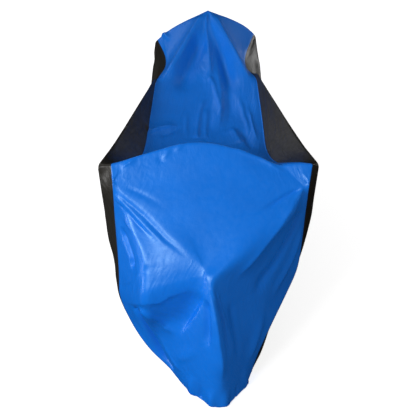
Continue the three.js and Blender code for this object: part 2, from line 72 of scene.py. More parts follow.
# Passes after which a rounded polyline meets its pins
FITTING_PASSES = 8

Point = tuple[float, float, float]
Pair = tuple[float, float]


class Crest(Enum):
    """Shape of a fold across its way."""

    SOFT = "soft"
    CRISP = "crisp"


class Edge(Enum):
    """The four edges of a panel's grid of points."""

    FRONT = "front"
    REAR = "rear"
    LEFT = "left"
    RIGHT = "right"


@dataclass(frozen=True)
class Section:
    """Pins of the taut cloth across one section, in millimetres.

    left and right each hold the seam, the shoulder and the hem. crown lifts the cloth at its share of the
    way from spine to seam, cheek over halfway from there to the seam, and belly swells it halfway from
    shoulder to hem, each (left, right). keel rounds the spine, brow the crowns, leaf the cheeks and edge
    the seams and shoulders, in columns; soft rounds the section along the cover, in sections.
    """

    at: str
    spine: Point
    left: tuple[Point, Point, Point]
    right: tuple[Point, Point, Point]
    crown: Pair
    cheek: Pair
    belly: Pair
    share: Pair = (0.5, 0.5)
    keel: float = 0.5
    brow: float = 0.5
    leaf: float = 0.5
    edge: float = 0.22
    soft: float = 0.5


@dataclass(frozen=True)
class Fold:
    """One fold laid on the taut cloth.

    way runs over (section, column). rise is its height in millimetres, outward or inward, left and right
    the reach of its flanks, fan the growth of that reach from start to end, and fade its run-in and
    run-out as shares of the way.
    """

    name: str
    way: tuple[Pair, ...]
    rise: float
    left: float
    right: float
    fan: float
    fade: Pair
    crest: Crest = Crest.SOFT


@dataclass(frozen=True)
class Fan:
    """Fine creases that spread from one point under tension to a far line.

    apex, first and last are (section, column); rise and reach are in millimetres.
    """

    name: str
    apex: Pair
    first: Pair
    last: Pair
    count: int
    rise: float
    reach: float


SECTIONS: tuple[Section, ...] = (
    Section("front hem", (50, -1042, 0),
            ((-168, -790, 4), (-184, -760, 3), (-198, -728, 0)),
            ((216, -785, 4), (224, -755, 3), (232, -725, 0)),
            (45, 62), (22, 30), (0, 0)),
    Section("wheel", (52, -1030, 356),
            ((-322, -718, 152), (-300, -655, 125), (-205, -640, 8)),
            ((266, -788, 190), (283, -735, 165), (238, -640, 8)),
            (22, 6), (-2, 4), (10, 10), keel=0.3),
    Section("nose", (8, -927, 660),
            ((-428, -624, 335), (-440, -545, 360), (-245, -520, 20)),
            ((402, -585, 385), (372, -530, 370), (268, -520, 20)),
            (18, 28), (184, 44), (40, 22), share=(0.18, 0.18), leaf=0.14, soft=0.36),
    Section("low brow", (8, -826, 750),
            ((-435, -608, 519), (-462, -507, 488), (-257, -472, 24)),
            ((444, -558, 523), (420, -498, 494), (277, -472, 24)),
            (70, 146), (160, 24), (40, 22), share=(0.22, 0.41), brow=0.46, leaf=0.14),
    Section("front face", (8, -690, 898),
            ((-446, -572, 770), (-494, -450, 680), (-275, -400, 30)),
            ((464, -540, 747), (494, -450, 680), (290, -400, 30)),
            (98, 150), (62, 12), (40, 26), share=(0.625, 0.76), brow=0.3, leaf=0.12, soft=0.35),
    Section("high brow", (0, -570, 1024),
            ((-450, -588, 984), (-509, -500, 878), (-287, -325, 33)),
            ((477, -588, 984), (511, -500, 880), (300, -325, 33)),
            (4, 4), (2, 2), (30, 23), share=(0.92, 0.92), brow=0.06, edge=0.15, soft=0.15),
    Section("ridge", (-14, -450, 1150),
            ((-455, -512, 1069), (-521, -490, 1033), (-300, -250, 35)),
            ((489, -512, 1069), (524, -490, 1037), (310, -250, 35)),
            (9, -36), (-2, 4), (20, 20), share=(0.7, 0.66), brow=0.2, edge=0.1, soft=0.12),
    Section("dip", (0, -150, 905),
            ((-338, -205, 884), (-453, -185, 979), (-315, -60, 30)),
            ((318, -205, 884), (452, -185, 983), (322, -60, 30)),
            (-8, -8), (0, 0), (-10, -10), edge=0.12),
    Section("seat", (0, 150, 852),
            ((-296, 172, 880), (-363, 150, 952), (-320, 170, 25)),
            ((276, 172, 880), (358, 150, 957), (322, 170, 25)),
            (-4, -4), (0, 0), (-15, -15), share=(0.7, 0.7), edge=0.12),
    Section("wing end", (0, 450, 897),
            ((-271, 439, 930), (-292, 405, 930), (-315, 380, 30)),
            ((251, 468, 930), (265, 478, 930), (310, 380, 30)),
            (2, 2), (0, 0), (10, 10), share=(0.84, 0.84), brow=0.12, edge=0.2, soft=0.16),
    Section("valley", (2, 735, 972),
            ((-225, 720, 880), (-255, 740, 790), (-300, 560, 35)),
            ((198, 720, 885), (232, 740, 795), (290, 560, 35)),
            (72, 72), (0, 0), (40, 40), share=(0.58, 0.64), keel=0.4, brow=0.14),
    Section("gable", (0, 975, 1051),
            ((-278, 965, 872), (-290, 985, 800), (-280, 700, 30)),
            ((252, 965, 908), (268, 985, 805), (270, 700, 30)),
            (2, 2), (17, 20), (40, 40), share=(0.08, 0.08), keel=0.25, brow=0.3, edge=0.35, soft=0.16),
    Section("rear upper", (0, 1030, 700),
            ((-265, 1010, 620), (-312, 975, 590), (-255, 800, 20)),
            ((245, 1010, 640), (288, 975, 600), (245, 800, 20)),
            (10, 10), (4, 4), (30, 30)),
    Section("rear lower", (0, 1038, 330),
            ((-225, 1000, 310), (-272, 950, 290), (-230, 860, 8)),
            ((215, 1000, 315), (258, 950, 290), (222, 860, 8)),
            (15, 15), (6, 6), (15, 15)),
    Section("rear hem", (0, 1030, 0),
            ((-160, 950, 4), (-185, 925, 3), (-205, 898, 0)),
            ((150, 950, 4), (175, 925, 3), (195, 898, 0)),
            (30, 30), (12, 12), (0, 0)),
)

FOLDS: tuple[Fold, ...] = (
    Fold("left mirror to nose, crease on the kite", ((5, 5.06), (4.68, 5.2), (4.32, 5.34), (4.1, 5.38)),
         -3, 10, 12, 1.2, (0.2, 0.6)),
    Fold("left mirror to nose, upper valley",
         ((4.76, 4.26), (4.38, 4.76), (4.04, 4.86), (3.72, 4.84), (3.48, 4.8), (3.12, 4.92), (2.88, 5.02)),
         -5, 14, 11, 1.2, (0.2, 0.4)),
    Fold("left mirror to nose, crest",
         ((4.84, 3.22), (4.54, 4.22), (4.22, 4.5), (3.8, 4.6), (3.44, 4.62), (3.2, 4.66)),
         6, 10, 12, 1.4, (0.15, 0.4)),
    Fold("left mirror to nose, lower valley",
         ((4.64, 3.44), (4.3, 4.1), (3.98, 4.3), (3.7, 4.4), (3.46, 4.42)),
         -5, 8, 10, 1.3, (0.2, 0.4)),
    Fold("left mirror to nose, lower crest", ((4.74, 3.1), (4.48, 3.92), (4.22, 4.16), (3.78, 4.24)),
         4, 8, 10, 1.2, (0.2, 0.5)),
    Fold("edge of the hollow at the left seam",
         ((4.12, 3.72), (3.7, 4.02), (3.36, 4.04), (3.06, 4.04), (2.76, 4.04)),
         5, 24, 8, 1, (0.25, 0.1), Crest.CRISP),
    Fold("hollow at the left seam", ((3.88, 3.44), (3.5, 3.58), (3.12, 3.66), (2.8, 3.62)),
         -20, 14, 22, 1, (0.25, 0.2)),
    Fold("foot of the hollow at the left seam", ((2.74, 3.98), (2.6, 3.72), (2.56, 3.4), (2.5, 3.16)),
         6, 10, 20, 1, (0.2, 0.3), Crest.CRISP),
    Fold("shelf edge left of the nose",
         ((1.96, 3.04), (1.98, 3.56), (2, 4.06), (1.94, 4.28), (2.02, 4.5), (2, 4.78), (1.96, 5.22)),
         8, 50, 18, 1, (0.4, 0.25), Crest.CRISP),
    Fold("right mirror to nose, crease on the kite", ((4.98, 7), (4.62, 6.86), (4.28, 6.72), (4.02, 6.6)),
         -10, 8, 9, 1.1, (0.15, 0.5)),
    Fold("right mirror to nose, crest", ((4.58, 7.1), (4.08, 7.06), (3.7, 7.12), (2.98, 7.24), (2.08, 7.3)),
         13, 22, 16, 1.3, (0.15, 0.3), Crest.CRISP),
    Fold("right mirror to nose, lower valley",
         ((4.34, 8.06), (3.78, 8.02), (3.28, 7.92), (2.44, 7.86), (1.78, 7.78)),
         -18, 22, 24, 1.3, (0.15, 0.25)),
    Fold("right mirror, outer swell", ((3.98, 8.7), (3.54, 8.64), (2.78, 8.46), (1.76, 8.34)),
         11, 18, 22, 1.3, (0.2, 0.3)),
    Fold("keel below the nose",
         ((1.92, 6.06), (1.7, 6.04), (1.54, 6.04), (1.3, 6.04), (1.08, 6.04), (0.84, 6.08), (0.42, 6.1)),
         17, 11, 24, 1.1, (0.35, 0.25), Crest.CRISP),
    Fold("valley from the nose to the belly", ((1.88, 5.46), (1.68, 5.24), (1.5, 5.1), (1.2, 4.88)),
         -19, 17, 56, 1, (0.25, 0.4)),
    Fold("trough left of the keel", ((1.78, 5.66), (1.48, 5.72), (0.96, 5.7)),
         -20, 18, 26, 1.1, (0.2, 0.4)),
    Fold("crest right of the keel", ((1.94, 6.64), (1.7, 6.66), (1.42, 6.54), (1.02, 6.48)),
         9, 13, 12, 1.2, (0.15, 0.5), Crest.CRISP),
    Fold("outer valley right of the keel", ((1.8, 7.16), (1.32, 6.86), (0.72, 6.78)),
         -9, 20, 18, 1.2, (0.25, 0.35)),
    Fold("swell right of the keel", ((1.58, 8.1), (1.18, 8.02), (0.62, 7.68)),
         12, 26, 30, 1.1, (0.35, 0.35)),
    Fold("valley right of the keel", ((1.94, 6.56), (1.66, 6.54), (1.28, 6.34), (0.8, 6.3)),
         -13, 30, 10, 1.2, (0.2, 0.4)),
    Fold("fold across the belly, left of the keel", ((0.68, 4.58), (0.84, 5.22), (1.04, 5.58)),
         5, 34, 20, 1, (0.4, 0.4)),
    Fold("tuck along the lower left", ((1.92, 3.62), (1.52, 3.8), (0.96, 4.02), (0.46, 4.08), (0.32, 4.18)),
         -42, 12, 30, 1, (0.07, 0.12)),
    Fold("crest along the tuck", ((1.9, 3.86), (1.5, 4.06), (0.98, 4.4), (0.58, 4.68), (0.44, 4.76)),
         7, 14, 8, 1, (0.15, 0.1), Crest.CRISP),
    Fold("crease above the tuck", ((1.96, 3.76), (1.66, 4.12), (1.4, 4.48), (1.2, 4.88)),
         16, 10, 34, 1.1, (0.2, 0.25), Crest.CRISP),
    Fold("peak to seat, centre crest", ((10.82, 5.72), (10.08, 5.98), (9.58, 6.06), (9.22, 6.08)),
         6, 8, 8, 1.1, (0.06, 0.15), Crest.CRISP),
    Fold("swell along the centre of the tail", ((10.46, 5.98), (9.64, 6.02), (8.8, 6.04)),
         9, 15, 28, 1.2, (0.3, 0.3)),
    Fold("right fork on the seat", ((9.22, 6.04), (9, 6.14), (8.66, 6.22), (8.38, 6.3), (8.18, 6.24)),
         9, 8, 10, 1, (0.1, 0.2), Crest.CRISP),
    Fold("right edge of the seat wedge",
         ((10.1, 6.12), (9.64, 6.28), (8.96, 6.3), (8.48, 6.32), (8.28, 6.3), (7.78, 6.24)),
         14, 12, 70, 1, (0.5, 0.2), Crest.CRISP),
    Fold("valley right of the seat wedge",
         ((10.4, 6.38), (9.9, 6.4), (9.24, 6.44), (8.72, 6.48), (8.3, 6.5), (7.76, 6.44)),
         -7, 34, 12, 1, (0.6, 0.3)),
    Fold("left fork on the seat", ((8.7, 5.94), (8.4, 5.84), (8, 5.78), (7.58, 5.72)),
         9, 9, 18, 1.1, (0.2, 0.05), Crest.CRISP),
    Fold("hollow between the forks", ((8.76, 6.1), (8.36, 6.06), (7.72, 6.04)),
         -3, 14, 14, 1.1, (0.3, 0.2)),
    Fold("seat crease behind the ridge", ((8.46, 5.96), (8, 5.96), (7.58, 5.94)),
         5, 8, 9, 1, (0.2, 0.05), Crest.CRISP),
    Fold("left seat pleat", ((8.32, 5.56), (7.64, 5.46)),
         5, 10, 10, 1, (0.4, 0.3)),
    Fold("left seat crest", ((7.66, 3.14), (7.8, 4.76), (7.9, 5.34)),
         15, 30, 11, 0.9, (0.15, 0.4), Crest.CRISP),
    Fold("left seat valley", ((7.58, 4.36), (7.72, 5.06), (7.92, 5.44)),
         -5, 10, 14, 0.9, (0.2, 0.4)),
    Fold("right seat valley", ((7.82, 6.76), (7.48, 7.32), (7.22, 7.84)),
         -8, 30, 12, 1, (0.3, 0.3)),
    Fold("right seat crest", ((7.9, 6.54), (7.6, 6.82), (7.44, 7.1)),
         11, 12, 36, 1, (0.3, 0.15), Crest.CRISP),
    Fold("slant on the right of the seat", ((8.36, 6.96), (7.94, 7.38), (7.48, 8.2)),
         7, 8, 16, 1, (0.3, 0.3), Crest.CRISP),
    Fold("inner slant on the right of the seat", ((8.7, 6.7), (8.12, 6.9), (7.62, 7.34)),
         5, 9, 16, 1, (0.3, 0.3)),
    Fold("peak to left wing end", ((10.86, 5.02), (10.26, 5.04), (9.76, 5.1), (9.12, 5)),
         13, 26, 44, 1, (0.1, 0.2), Crest.CRISP),
    Fold("hollow left of the centre crest", ((10.4, 5.66), (9.58, 5.52), (8.7, 5.34)),
         -28, 36, 38, 1.2, (0.25, 0.35)),
    Fold("puff at the left gable corner", ((10.98, 3.48), (10.58, 3.74)),
         10, 13, 13, 1, (0.01, 0.5)),
    Fold("crease under the puff", ((10.86, 3.46), (10.5, 3.38), (10.16, 3.22)),
         5, 8, 8, 1, (0.3, 0.4), Crest.CRISP),
    Fold("hollow right of the centre crest", ((10.56, 6.44), (9.64, 6.46), (8.68, 6.54)),
         -23, 36, 28, 1.2, (0.4, 0.35)),
    Fold("ridge mark, far left", ((5.66, 4.12), (5.78, 4.76), (5.86, 5.04)),
         6, 8, 9, 1, (0.4, 0.4), Crest.CRISP),
    Fold("ridge mark, trough", ((5.78, 5.36), (5.46, 5.46)),
         -5, 7, 8, 1, (0.4, 0.4)),
    Fold("ridge mark, left", ((5.94, 5.5), (5.6, 5.46)),
         6, 7, 8, 1, (0.4, 0.4), Crest.CRISP),
    Fold("ridge mark, near the middle", ((6, 5.68), (5.72, 5.6)),
         5, 8, 8, 1, (0.4, 0.4), Crest.CRISP),
    Fold("hem lobe, far left", ((0, 4.82), (0.52, 5.3)),
         14, 30, 30, 0.8, (0.01, 0.7)),
    Fold("hem notch, left", ((0.02, 5.24), (0.36, 5.44)),
         -8, 14, 12, 0.7, (0.01, 0.8)),
    Fold("hem lobe, left of the tip", ((0, 5.7), (0.34, 5.76)),
         14, 26, 22, 0.8, (0.01, 0.7)),
    Fold("hem lobe, right of the tip", ((0, 6.38), (0.38, 6.28)),
         12, 22, 26, 0.8, (0.01, 0.7)),
    Fold("hem notch, right", ((0, 7.12), (0.32, 6.82)),
         -9, 11, 11, 0.7, (0.01, 0.8)),
    Fold("hem lobe, right", ((0, 7.94), (0.64, 7.1)),
         8, 28, 26, 0.8, (0.01, 0.7)),
    Fold("peak to right wing end", ((10.86, 7.06), (10.4, 7), (9.76, 7), (9.12, 7)),
         13, 13, 30, 1, (0.1, 0.2), Crest.CRISP),
    Fold("crease in front of the right ridge",
         ((5.97, 6.35), (5.96, 6.55), (5.93, 6.76), (5.8, 6.86), (5.54, 6.94)),
         8, 9, 9, 1, (0.2, 0.3), Crest.CRISP),
    Fold("left mirror, forward", ((5.6, 1.8), (4.6, 1.2), (3.83, 0.1)),
         16, 40, 50, 1.4, (0.4, 0.4)),
    Fold("left mirror, down", ((6.02, 1.8), (6.05, 1.1), (6.1, 0)),
         20, 36, 40, 1.6, (0.4, 0.3)),
    Fold("left mirror, rearward", ((6.3, 1.8), (6.7, 1.2), (7, 0.1)),
         14, 36, 46, 1.5, (0.4, 0.4)),
    Fold("left mirror, trough", ((5.8, 1.75), (5.3, 1), (5, 0)),
         -14, 34, 34, 1.4, (0.3, 0.3)),
    Fold("left tank trough", ((7.2, 1.9), (7.6, 1), (7.7, 0)),
         -16, 50, 60, 1, (0.2, 0.1)),
    Fold("left wing end, forward", ((8.9, 1.9), (8.4, 1), (8.3, 0)),
         16, 46, 46, 1.2, (0.1, 0.15)),
    Fold("left wing end, trough", ((9.05, 1.9), (9.1, 1), (9.2, 0)),
         -14, 36, 40, 1.3, (0.1, 0.2)),
    Fold("left gable, forward", ((10.9, 2), (10.2, 1.1), (9.9, 0)),
         18, 40, 50, 1.2, (0.1, 0.2)),
    Fold("left gable, trough", ((11, 2.1), (10.9, 1), (10.7, 0)),
         -14, 36, 40, 1.2, (0.1, 0.2)),
    Fold("left front corner", ((2.25, 1.8), (2.75, 1), (2.75, 0)),
         12, 40, 44, 1.2, (0.15, 0.2)),
    Fold("left rear corner", ((12, 2.4), (12.2, 1.2), (12.4, 0)),
         14, 44, 44, 1.1, (0.2, 0.1)),
    Fold("right mirror, forward", ((5.6, 10.2), (4.8, 10.9), (4.2, 11.9)),
         15, 42, 48, 1.4, (0.4, 0.4)),
    Fold("right mirror, down", ((6.02, 10.2), (6.15, 10.9), (6.3, 12)),
         18, 38, 38, 1.5, (0.4, 0.3)),
    Fold("right mirror, rearward", ((6.4, 10.2), (6.9, 10.8), (7.3, 12)),
         16, 40, 44, 1.4, (0.4, 0.4)),
    Fold("right mirror, trough", ((5.8, 10.25), (5.5, 11), (5.4, 12)),
         -12, 34, 34, 1.4, (0.3, 0.3)),
    Fold("right tank trough", ((7.5, 10.1), (8, 11), (8.1, 12)),
         -15, 50, 56, 1, (0.2, 0.1)),
    Fold("right wing end, down", ((8.9, 10.1), (8.7, 11), (8.8, 12)),
         17, 44, 46, 1.2, (0.1, 0.15)),
    Fold("right wing end, trough", ((9.1, 10.1), (9.4, 11), (9.6, 12)),
         -12, 38, 38, 1.3, (0.1, 0.2)),
    Fold("right gable, forward", ((10.9, 10), (10.4, 10.9), (10.3, 12)),
         16, 40, 48, 1.2, (0.1, 0.2)),
    Fold("right front corner", ((2.75, 10.6), (3.17, 11.2), (3.33, 12)),
         7, 40, 44, 1.2, (0.3, 0.2)),
    Fold("right rear corner", ((11.9, 9.7), (11.8, 10.9), (11.8, 12)),
         14, 44, 44, 1.1, (0.2, 0.1)),
    Fold("rear, left of centre", ((11.1, 5), (12.4, 5.2), (13.9, 5.3)),
         14, 40, 50, 1.2, (0.1, 0.2)),
    Fold("rear centre trough", ((11.05, 6), (12.3, 5.8), (13.9, 6.1)),
         -12, 40, 40, 1.4, (0.1, 0.2)),
    Fold("rear, right of centre", ((11.1, 6.9), (12.6, 6.8), (14, 7.2)),
         16, 44, 50, 1.2, (0.1, 0.1)),
    Fold("rear left trough", ((11.1, 3.4), (12.6, 4), (14, 3.8)),
         -12, 36, 40, 1.2, (0.1, 0.1)),
)

FANS: tuple[Fan, ...] = (
    Fan("nose creases", (1.98, 5.9), (1.2, 5.2), (1.1, 6.7), 6, 2, 6),
    Fan("peak creases", (10.9, 6), (9.9, 5.2), (9.9, 6.8), 6, 2, 8),
    Fan("left corner creases", (5.25, 3.25), (5.8, 4.7), (4.7, 5), 6, 3, 7),
    Fan("right corner creases", (5.2, 8.75), (5.6, 7.5), (4.7, 7.2), 5, 2.5, 7),
    Fan("low left creases", (1.9, 3.5), (0.7, 3.2), (0.7, 3.9), 5, 4, 8),
)


def ease(t: np.ndarray) -> np.ndarray:
    """Smooth step of t between 0 and 1."""
    x = np.clip(t, 0.0, 1.0)
    return x * x * (3.0 - 2.0 * x)


def unit(a: np.ndarray) -> np.ndarray:
    """Vectors along the last axis, made one long."""
    return a / np.maximum(np.linalg.norm(a, axis=-1, keepdims=True), 1e-9)


def rounded(knots: np.ndarray, soft: np.ndarray, t: np.ndarray) -> np.ndarray:
    """Points of a polyline whose corners are rounded over their own reach.

    Args:
        knots: Corner points, one row each; further axes are carried along.
        soft: Reach of each corner, in steps from knot to knot, at most a half.
        t: Places along the polyline, in steps.

    Returns:
        One point, or one set of points, for each place.
    """
    last = len(knots) - 1
    k = np.clip(np.rint(t).astype(int), 0, last)
    shape = (len(t),) + (1,) * (knots.ndim - 1)
    s = (t - k).reshape(shape)
    w = soft[k].reshape(shape)
    back = knots[k] - knots[np.maximum(k - 1, 0)]
    fore = knots[np.minimum(k + 1, last)] - knots[k]
    a = np.where((k == 0).reshape(shape), fore, back)
    b = np.where((k == last).reshape(shape), back, fore)
    r = s / w
    corner = knots[k] + w * ((b - a) / 4.0 * (r * r + 1.0) + (a + b) / 2.0 * r)
    straight = knots[k] + np.where(s > 0.0, b, a) * s
    return np.where(np.abs(s) < w, corner, straight)


def pass_through(pins: np.ndarray, soft: np.ndarray) -> np.ndarray:
    """Knots whose rounded polyline passes through the given pins.

    Args:
        pins: Points to pass through, one row each.
        soft: Reach of each corner.

    Returns:
        The knots, in the shape of the pins.
    """
    knots = pins.copy()
    places = np.arange(len(pins), dtype=float)
    for _ in range(FITTING_PASSES):
        knots = knots + pins - rounded(knots, soft, places)
    return knots


def uneven(n: int, mean: float, swing: float, turn: float, phase: float) -> float:
    """A value that sways about its mean from one crease to the next.

    Args:
        n: Number of the crease.
        mean: Its mean.
        swing: How far it sways to either side.
        turn: Angle from one crease to the next, in radians.
        phase: Angle at the first crease.

    Returns:
        The value for this crease.
    """
    return mean + swing * math.sin(turn * n + phase)


def steps(counts: tuple[int, ...], start: float) -> np.ndarray:
    """Places from start on, with counts of equal steps in each unit.

    Args:
        counts: Number of steps in each unit.
        start: First place.

    Returns:
        All places, both ends included.
    """
    runs = [start + k + np.arange(1, n + 1) / n for k, n in enumerate(counts)]
    return np.concatenate([[start], *runs])


class Drape:
    """The outer face of the whole cover, worked out from its sections, folds and fans."""

    # Columns of the two seams
    SEAM_LEFT = 3.0
    SEAM_RIGHT = 9.0
    # Place of the cheek between crown and seam
    CHEEK = 0.64
    # Corner reach at the bellies and the hems, in columns
    PLAIN_SOFT = 0.5
    # Points laid on each leg of a fold's way
    LEG_POINTS = 5
    # Roundness of a crisp crest, where its flanks are cut off, and where any fold is flat, all in reaches
    CREST = 0.1
    CUT = 3.0
    FLAT = 4.0
    # Growth and fade of a fan's creases, and its troughs against its ridges
    FAN_GROWTH = 1.8
    FAN_FADE = (0.12, 0.6)
    FAN_TROUGH = -0.8

    def __init__(
        self, sections: tuple[Section, ...], folds: tuple[Fold, ...], fans: tuple[Fan, ...],
    ) -> None:
        """Works out the knots across each section.

        Args:
            sections: Sections from the front hem to the rear hem.
            folds: Folds laid on the taut cloth.
            fans: Fine creases, spread out into folds here.
        """
        self.along_soft = np.array([s.soft for s in sections])
        self.across_soft = [self._section_soft(s) for s in sections]
        self.across = [
            pass_through(pins, soft) for pins, soft in zip(self._pins(sections), self.across_soft)
        ]
        self.folds = folds + tuple(fold for fan in fans for fold in self._spread(fan))

    def _section_soft(self, section: Section) -> np.ndarray:
        """Corner reaches across one section, left hem to right hem."""
        half = [self.PLAIN_SOFT, self.PLAIN_SOFT, section.edge, section.edge, section.leaf, section.brow]
        return np.array([*half, section.keel, *half[::-1]])

    @staticmethod
    def _pins(sections: tuple[Section, ...]) -> list[np.ndarray]:
        """The thirteen pins across each section.

        Args:
            sections: Sections from the front hem to the rear hem.

        Returns:
            An array of thirteen points for each section, left hem to right hem.
        """
        spine = np.array([s.spine for s in sections], dtype=float)
        run = np.gradient(spine, axis=0)
        lift = unit(np.stack([np.zeros(len(run)), -run[:, 2], run[:, 1]], axis=1))
        rows = []
        for k, s in enumerate(sections):
            seam_l, shoulder_l, hem_l = (np.array(p, dtype=float) for p in s.left)
            seam_r, shoulder_r, hem_r = (np.array(p, dtype=float) for p in s.right)
            out = np.array([1.0, 0.0, 0.0])
            crown_l = spine[k] + (seam_l - spine[k]) * s.share[0] + lift[k] * s.crown[0]
            crown_r = spine[k] + (seam_r - spine[k]) * s.share[1] + lift[k] * s.crown[1]
            rows.append(np.array([
                hem_l,
                (shoulder_l + hem_l) / 2.0 - out * s.belly[0],
                shoulder_l,
                seam_l,
                crown_l + (seam_l - crown_l) * Drape.CHEEK + lift[k] * s.cheek[0],
                crown_l,
                spine[k],
                crown_r,
                crown_r + (seam_r - crown_r) * Drape.CHEEK + lift[k] * s.cheek[1],
                seam_r,
                shoulder_r,
                (shoulder_r + hem_r) / 2.0 + out * s.belly[1],
                hem_r,
            ]))
        return rows

    @staticmethod
    def _spread(fan: Fan) -> list[Fold]:
        """Turns a fan into its creases, each a little different.

        Args:
            fan: The fan to spread.

        Returns:
            One narrow fold for each crease, ridges and troughs by turns.
        """
        creases = []
        apex, first, last = (np.array(place) for place in (fan.apex, fan.first, fan.last))
        for n in range(fan.count):
            ridge = n % 2 == 0
            share = (n + uneven(n, mean=0.0, swing=0.5, turn=2.4, phase=fan.apex[0])) / (fan.count - 1)
            length = uneven(n, mean=0.62, swing=0.38, turn=4.1, phase=fan.apex[1])
            height = fan.rise * uneven(n, mean=0.7, swing=0.3, turn=5.3, phase=1.0)
            rise = height if ridge else height * Drape.FAN_TROUGH
            end = apex + (first + (last - first) * share - apex) * length
            creases.append(Fold(
                f"{fan.name} {n}", (fan.apex, tuple(end.tolist())), rise,
                fan.reach, fan.reach, Drape.FAN_GROWTH, Drape.FAN_FADE, Crest.CRISP if ridge else Crest.SOFT,
            ))
        return creases

    def taut(self, v: np.ndarray, u: np.ndarray) -> np.ndarray:
        """Taut cloth, with no folds, on a grid.

        Args:
            v: Places along the cover, in sections.
            u: Places across it, in columns.

        Returns:
            Points in millimetres, by v and u.
        """
        ribs = np.array([rounded(k, s, u) for k, s in zip(self.across, self.across_soft)])
        return rounded(pass_through(ribs, self.along_soft), self.along_soft, v)

    def _laid_way(self, fold: Fold) -> np.ndarray:
        """Points of a fold's way on the taut cloth, in millimetres."""
        way = np.array(fold.way)
        legs = np.arange(len(way))
        t = np.linspace(0.0, len(way) - 1.0, self.LEG_POINTS * (len(way) - 1) + 1)
        v, u = np.interp(t, legs, way[:, 0]), np.interp(t, legs, way[:, 1])
        return np.array([self.taut(v[n:n + 1], u[n:n + 1])[0, 0] for n in range(len(t))])

    def _fold_height(self, fold: Fold, points: np.ndarray, normals: np.ndarray) -> np.ndarray:
        """Height of one fold at each point of the taut cloth.

        Args:
            fold: The fold.
            points: Points of the taut cloth, in millimetres.
            normals: Outward normals there.

        Returns:
            Height along the normal, in millimetres.
        """
        way = self._laid_way(fold)
        legs = np.diff(way, axis=0)
        lengths = np.linalg.norm(legs, axis=1)
        run = np.concatenate([[0.0], np.cumsum(lengths)])
        margin = self.FLAT * max(fold.left, fold.right) * max(1.0, fold.fan)
        close = np.all((points > way.min(0) - margin) & (points < way.max(0) + margin), axis=1)
        height = np.zeros(len(points))
        p, n = points[close], normals[close]
        near = np.full(len(p), np.inf)
        t = np.zeros(len(p))
        on_left = np.zeros(len(p), dtype=bool)
        for k, leg in enumerate(legs):
            offset = p - way[k]
            share = np.clip(offset @ leg / lengths[k] ** 2, 0.0, 1.0)
            far = np.linalg.norm(offset - share[:, None] * leg, axis=1)
            nearer = far < near
            near = np.where(nearer, far, near)
            t = np.where(nearer, (run[k] + share * lengths[k]) / run[-1], t)
            on_left = np.where(nearer, (np.cross(leg, offset) * n).sum(1) > 0.0, on_left)
        reach = np.where(on_left, fold.left, fold.right) * (1.0 + (fold.fan - 1.0) * t)
        q = near / reach
        if fold.crest is Crest.CRISP:
            flank = np.exp(self.CREST - np.hypot(q, self.CREST)) * np.exp(-(q / self.CUT) ** 4)
        else:
            flank = np.exp(-q * q)
        height[close] = fold.rise * flank * ease(t / fold.fade[0]) * ease((1.0 - t) / fold.fade[1])
        return height

    def laid(self, v: np.ndarray, u: np.ndarray) -> np.ndarray:
        """Draped cloth with every fold laid on it.

        Args:
            v: Places along the cover, in sections.
            u: Places across it, in columns.

        Returns:
            Points in millimetres, by v and u.
        """
        taut = self.taut(v, u)
        normals = outward(taut)
        points, flat = taut.reshape(-1, 3), normals.reshape(-1, 3)
        height = sum(self._fold_height(fold, points, flat) for fold in self.folds)
        return taut + normals * height.reshape(taut.shape[:2])[..., None]


def outward(grid: np.ndarray) -> np.ndarray:
    """Outward normals of a grid of points.

    Args:
        grid: Points, by rows along the cover and columns across it.

    Returns:
        Unit normals in the same shape.
    """
    return unit(np.cross(np.gradient(grid, axis=1), np.gradient(grid, axis=0)))


@dataclass(frozen=True)
class Hem:
    """A turned and stitched hem, in millimetres.

    depth is the turned-in part and ply the space between its layers. inner and roll place its fold, in
    from the edge and out past it. span is the number of grid lines over which the way in is taken.
    """

    depth: float = 22.0
    ply: float = 1.8
    inner: float = 0.8
    roll: float = 0.5
    span: int = 3

    def turned(self, grid: np.ndarray, edge: Edge) -> np.ndarray:
        """Adds the part of the cloth that is turned in at one edge.

        Args:
            grid: Points of the panel.
            edge: The edge to turn in.

        Returns:
            The grid with three more lines at that edge.
        """
        normals = outward(grid)
        crosswise = edge in (Edge.LEFT, Edge.RIGHT)
        if crosswise:
            grid, normals = grid.swapaxes(0, 1), normals.swapaxes(0, 1)
        flip = edge in (Edge.REAR, Edge.RIGHT)
        if flip:
            grid, normals = grid[::-1], normals[::-1]
        line, normal = grid[0], normals[0]
        inward = unit(grid[self.span] - line)
        folded = np.concatenate([np.array([
            line + inward * self.depth - normal * self.ply,
            line + inward * self.inner - normal * self.ply,
            line - inward * self.roll - normal * self.ply / 2.0,
        ]), grid])
        if flip:
            folded = folded[::-1]
        return folded.swapaxes(0, 1) if crosswise else folded


